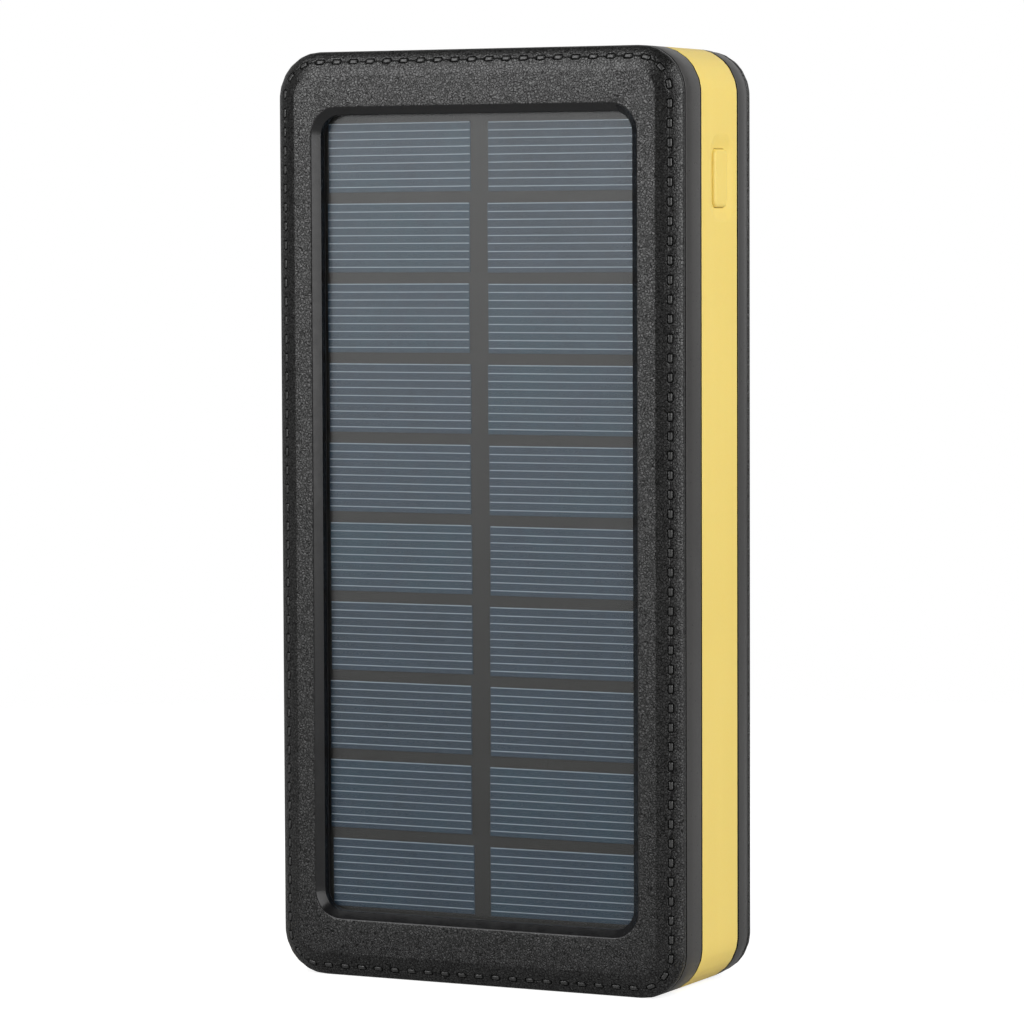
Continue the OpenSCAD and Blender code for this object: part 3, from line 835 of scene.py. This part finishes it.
def power_button():
    tip = button_low[0]
    flange_x = SIDE - WALL - 0.15
    stem = 1.5
    rings = [side_ring(x, stem - g, stem - g, stem - g, BAND_Y, BUTTON_Z)
             for x, g in ((tip, 0.2), (tip + 0.2, 0), (flange_x - 0.8, 0))]
    rings += button_rings([(flange_x - 0.8, 0.8), (flange_x - 0.7, 1.0), (flange_x - 0.1, 1.0),
                           (flange_x, 0.9), (flange_x, 0.0), (SIDE - 0.62, 0.0), (SIDE - 0.44, -0.04),
                           (SIDE - 0.28, -0.12), (SIDE - 0.15, -0.24), (SIDE - 0.06, -0.42),
                           (SIDE - 0.015, -0.66), (SIDE, -0.95), (SIDE, -1.15)])
    obj = closed("power_button_cap", rings, YELLOW)
    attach(obj, "button")
    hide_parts("power_button")


# ---------------------------------------------------------------- solar panel
ROWS = 10
FINGERS = 9
FINGER_W, FINGER_T, FINGER_PITCH, FINGER_END = 0.17, 0.03, 1.4, 0.12
CELL_H, CELL_BEVEL = 12.2, 0.06
CELL_SHARP = 20
rng = np.random.default_rng(7)


def walls(start):
    """Four faces between two squares of points, the second right after the first."""
    return [(start + i, start + (i + 1) % 4, start + 4 + (i + 1) % 4, start + 4 + i) for i in range(4)]


def square(start):
    return tuple(range(start, start + 4))


def solar_cells(side):
    """Ten slightly shifted and turned cells on one side, and their silver fingers."""
    node = "panel_cells_right" if side > 0 else "panel_cells_left"
    (x0, y0, z0), (x1, y1, z1) = mm_box(node)
    pitch = (z1 - z0 - CELL_H) / (ROWS - 1)
    w, h = (x1 - x0) / 2, CELL_H / 2
    verts, faces, tones = [], [], []
    lines, line_faces = [], []
    for row in range(ROWS):
        top = z1 - row * pitch
        shift = rng.uniform(-0.26, 0.26)
        tilt = math.radians(0.16 + rng.uniform(-0.12, 0.12))
        tone = rng.uniform(0, 1)
        mid = np.array([(x0 + x1) / 2 + shift, top - h])
        turn = np.array([[math.cos(tilt), -math.sin(tilt)], [math.sin(tilt), math.cos(tilt)]])

        def place(points, y):
            flat = (turn @ (np.asarray(points, float)).T).T + mid
            return np.stack([flat[:, 0], np.full(len(flat), y), flat[:, 1]], 1)

        box = [[-w, -h], [w, -h], [w, h], [-w, h]]
        a, b = w - CELL_BEVEL, h - CELL_BEVEL
        inner = [[-a, -b], [a, -b], [a, b], [-a, b]]
        start = sum(len(v) for v in verts)
        verts += [place(inner, y0), place(box, y0 + CELL_BEVEL), place(box, y1)]
        faces += walls(start) + walls(start + 4) + [square(start), square(start + 8)]
        tones += [tone] * 12
        for k in range(FINGERS):
            z = h - 0.1 - k * FINGER_PITCH
            half = FINGER_W / 2
            begin = sum(len(v) for v in lines)
            profile = [(-half, y0), (-half * 0.5, y0 - FINGER_T), (half * 0.5, y0 - FINGER_T),
                       (half, y0)]
            for x in (-w + FINGER_END, w - FINGER_END):
                lines.append(np.concatenate([place([[x, z + dz]], y) for dz, y in profile]))
            line_faces += walls(begin) + [square(begin), square(begin + 4)]
    word = "right" if side > 0 else "left"
    cells = make_object("solar_cells_" + word, np.concatenate(verts), faces, [SILICON],
                        attributes={"tone": tones}, sharp=CELL_SHARP)
    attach(cells, "case")
    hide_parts(node)
    fingers = make_object("solar_fingers_" + word, np.concatenate(lines), line_faces, [SILVER],
                          sharp=CELL_SHARP)
    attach(fingers, "case")


def top_sheet():
    (x0, y0, z0), (x1, y1, z1) = mm_box("panel_laminate")
    half_w, half_h = (x1 - x0) / 2, (z1 - z0) / 2
    rings = [front_ring(y, half_w - g, half_h - g, 4.0, 0, WINDOW_Z, COARSE)
             for y, g in ((y0, 0.1), (y0 + 0.08, 0), (y1 - 0.1, 0), (y1 - 0.05, 0.05))]
    obj = closed("clear_sheet", rings, SHEET)
    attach(obj, "case")
    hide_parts("panel_laminate")


front_cover()
rear_cover()
mid_frame()
power_button()
solar_cells(-1)
solar_cells(1)
top_sheet()


# ---------------------------------------------------------------- materials of the CAD nodes
def give(material, *names):
    for name in names:
        data = nodes[name].data
        data.materials.clear()
        data.materials.append(material)


METAL = dict(Metallic=1.0)
give(moulded("backsheet_film", linear(43, 41, 39), 0.6, 0.08, 0.12, 700, 1e-5,
             Specular_IOR_Level=0.15), "panel_backsheet")
give(moulded("black_tape", (0.012, 0.012, 0.013), 0.55, 0.08, 0.1, 1500, 1e-5), "panel_tape")
give(moulded("board_green", linear(28, 92, 52), 0.38, 0.08, 0.15, 900, 1.2e-5), "main_board",
     "protection_board")
give(moulded("white_board", linear(232, 232, 226), 0.4, 0.08, 0.04, 900, 1e-5), "torch_board")
give(moulded("socket_steel", linear(196, 198, 202), 0.26, 0.08, 0.06, 1800, 0.8e-5,
             stretch=(1, 1, 0.12), **METAL), "usb_a_shell_1", "usb_a_shell_2", "usb_c_shell")
give(moulded("screw_steel", linear(188, 188, 190), 0.3, 0.1, 0.08, 1500, 1e-5, **METAL), "board_screws")
give(moulded("socket_white", linear(236, 236, 230), 0.42, 0.06, 0.03, 1200, 1e-5), "usb_a_tongue_1",
     "usb_a_tongue_2")
give(moulded("gold_contact", linear(212, 172, 92), 0.25, 0.08, 0.08, 2000, 0.6e-5, **METAL),
     "usb_a_contacts")
give(moulded("socket_black", (0.015, 0.015, 0.016), 0.4, 0.06, 0.1, 1200, 1e-5), "usb_c_tongue",
     "switch_plunger")
give(moulded("chip_epoxy", (0.014, 0.014, 0.016), 0.5, 0.1, 0.15, 1500, 1.2e-5), "control_chips",
     "protection_chips", "switch_body")
give(moulded("inductor_ferrite", (0.05, 0.05, 0.055), 0.6, 0.1, 0.15, 1100, 2e-5), "power_inductors")
give(moulded("capacitor_body", linear(176, 146, 104), 0.5, 0.08, 0.1, 1300, 1e-5), "capacitors")
give(moulded("led_phosphor", linear(238, 208, 70), 0.45, 0.08, 0.05, 1500, 1e-5), "torch_leds")
give(moulded("white_led", linear(240, 240, 232), 0.4, 0.08, 0.03, 1500, 1e-5), "status_leds")
give(moulded("reflector_chrome", linear(214, 216, 220), 0.12, 0.05, 0.04, 500, 0.4e-5, **METAL),
     "torch_reflector")
give(moulded("pouch_foil", linear(186, 188, 192), 0.34, 0.1, 0.06, 240, 6e-5, Metallic=0.85),
     "battery_cell_front", "battery_cell_rear")
give(moulded("nickel_tab", linear(200, 198, 188), 0.3, 0.08, 0.08, 1500, 0.8e-5, **METAL), "cell_tabs")
give(moulded("foam", (0.08, 0.083, 0.088), 0.9, 0.05, 0.2, 1500, 8e-5), "cell_pad_front",
     "cell_pad_middle", "cell_pad_rear")
give(moulded("wire_red", linear(176, 30, 30), 0.42, 0.08, 0.06, 900, 1e-5), "panel_wire_red",
     "battery_wire_red")
give(moulded("wire_black", (0.014, 0.014, 0.014), 0.42, 0.08, 0.1, 900, 1e-5), "panel_wire_black",
     "battery_wire_black")


def clear_plastic(name, alpha):
    n = Nodes(name)
    ridges = n.noise(2600, 2)
    base = n.ramp(n.noise(300, 2), [(0.3, (0.82, 0.86, 0.9)), (0.7, (0.9, 0.93, 0.95))])
    n.feed(n.shader, Base_Color=base, Roughness=n.span(ridges, 0.12, 0.24),
           Normal=n.bump(ridges, 1.2e-5, 0.5))
    n.shader.inputs["Alpha"].default_value = alpha
    return n.material


give(clear_plastic("torch_lens_clear", 0.35), "torch_lens")
give(clear_plastic("light_pipe_clear", 0.7), "light_pipe")


# ---------------------------------------------------------------- floor, lights and camera
FLOOR_HALF, FLOOR_LIFT = 3.0, 0.8
BACKDROP_AZIMUTH = 206
# The world's strength: how far towards the backdrop, from and to, then the strengths there
BACKDROP = (0.1, 0.75, 0.1, 0.55)
LAMP_AIM = (0, 0, 0.08)
# Camera: azimuth, elevation and roll in degrees, then distance, offsets and lens in millimetres
CAMERA_TURN = (26.484, 3.5, -0.223)
CAMERA_PLACE = (814.2, 7.012, 83.923, 163.37)
# Name, azimuth, elevation, distance, width, height, power
SOFTBOXES = [("front_left_softbox", -27.8, 28.5, 1.1, 0.78, 1.25, 9.4),
             ("right_softbox", 84, 20, 1.0, 1.4, 1.1, 13.0)]


def stage_floor():
    """Pale floor that fades into the white backdrop away from the object."""
    mesh = bpy.data.meshes.new("stage_floor")
    s = FLOOR_HALF
    mesh.from_pydata([(-s, -s, 0), (s, -s, 0), (s, s, 0), (-s, s, 0)], [], [(0, 1, 2, 3)])
    obj = bpy.data.objects.new("stage_floor", mesh)
    bpy.context.scene.collection.objects.link(obj)
    n = Nodes("pale_floor")
    n.feed(n.shader, Base_Color=(0.55, 0.55, 0.55, 1), Roughness=0.9)
    n.shader.inputs["Specular IOR Level"].default_value = 0.0
    n.shader.inputs["Emission Color"].default_value = (1, 1, 1, 1)
    path = n.add("ShaderNodeLightPath").outputs["Is Camera Ray"]
    n.link(n.math("MULTIPLY", path, FLOOR_LIFT), n.shader.inputs["Emission Strength"])
    away = n.add("ShaderNodeVectorMath", operation="LENGTH")
    n.link(n.coords, away.inputs[0])
    clear = n.add("ShaderNodeBsdfTransparent")
    mix = n.add("ShaderNodeMixShader")
    fade = n.math("MULTIPLY", n.span(away.outputs["Value"], 0, 1, 0.12, 0.5), path)
    n.link(fade, mix.inputs[0])
    n.link(n.shader.outputs[0], mix.inputs[1])
    n.link(clear.outputs[0], mix.inputs[2])
    n.link(mix.outputs[0], n.output.inputs["Surface"])
    mesh.materials.append(n.material)


def softbox(name, azimuth, elevation, distance, width, height, power):
    a, e = math.radians(azimuth), math.radians(elevation)
    way = Vector((math.sin(a) * math.cos(e), -math.cos(a) * math.cos(e), math.sin(e)))
    lamp = bpy.data.lights.new(name, "AREA")
    lamp.shape, lamp.size, lamp.size_y = "RECTANGLE", width, height
    lamp.energy = power
    obj = bpy.data.objects.new(name, lamp)
    bpy.context.scene.collection.objects.link(obj)
    obj.location = Vector(LAMP_AIM) + way * distance
    obj.rotation_mode = "QUATERNION"
    obj.rotation_quaternion = (-way).to_track_quat("-Z", "Y")


def studio():
    """White backdrop behind the object, a dim room in front, and a softbox on either side."""
    world = bpy.data.worlds.new("studio")
    bpy.context.scene.world = world
    world.use_nodes = True
    tree = world.node_tree
    back = tree.nodes["Background"]
    back.inputs["Color"].default_value = (1, 1, 1, 1)
    seen = tree.nodes.new("ShaderNodeBackground")
    seen.inputs["Color"].default_value = (1, 1, 1, 1)
    coords = tree.nodes.new("ShaderNodeTexCoord")
    away = tree.nodes.new("ShaderNodeVectorMath")
    away.operation = "DOT_PRODUCT"
    tree.links.new(coords.outputs["Generated"], away.inputs[0])
    behind = math.radians(BACKDROP_AZIMUTH)
    away.inputs[1].default_value = (math.sin(behind), -math.cos(behind), 0)
    ramp = tree.nodes.new("ShaderNodeMapRange")
    ramp.interpolation_type = "SMOOTHSTEP"
    tree.links.new(away.outputs["Value"], ramp.inputs["Value"])
    for key, value in zip(("From Min", "From Max", "To Min", "To Max"), BACKDROP, strict=True):
        ramp.inputs[key].default_value = value
    tree.links.new(ramp.outputs["Result"], back.inputs["Strength"])
    path = tree.nodes.new("ShaderNodeLightPath")
    mix = tree.nodes.new("ShaderNodeMixShader")
    tree.links.new(path.outputs["Is Camera Ray"], mix.inputs[0])
    tree.links.new(back.outputs[0], mix.inputs[1])
    tree.links.new(seen.outputs[0], mix.inputs[2])
    tree.links.new(mix.outputs[0], tree.nodes["World Output"].inputs["Surface"])
    for lamp in SOFTBOXES:
        softbox(*lamp)
    bpy.context.scene.view_settings.view_transform = "Standard"


def camera():
    azimuth, elevation, roll = (math.radians(v) for v in CAMERA_TURN)
    distance, across, up_by, lens = CAMERA_PLACE
    back = Vector((math.sin(azimuth) * math.cos(elevation), -math.cos(azimuth) * math.cos(elevation),
                   math.sin(elevation)))
    right = Vector((math.cos(azimuth), math.sin(azimuth), 0))
    up = back.cross(right)
    x_axis = right * math.cos(roll) + up * math.sin(roll)
    y_axis = up * math.cos(roll) - right * math.sin(roll)
    data = bpy.data.cameras.new("camera")
    data.sensor_width, data.lens = 36, lens
    data.shift_x, data.shift_y = -0.5 / 1024, 0.5 / 1024
    data.clip_start, data.clip_end = 0.05, 50
    obj = bpy.data.objects.new("camera", data)
    bpy.context.scene.collection.objects.link(obj)
    place = right * across + Vector((0, FRONT, up_by)) + back * distance
    turn = Matrix((x_axis, y_axis, back)).transposed().to_4x4()
    obj.matrix_world = Matrix.Translation(place * MM) @ turn
    bpy.context.scene.camera = obj


stage_floor()
studio()
camera()
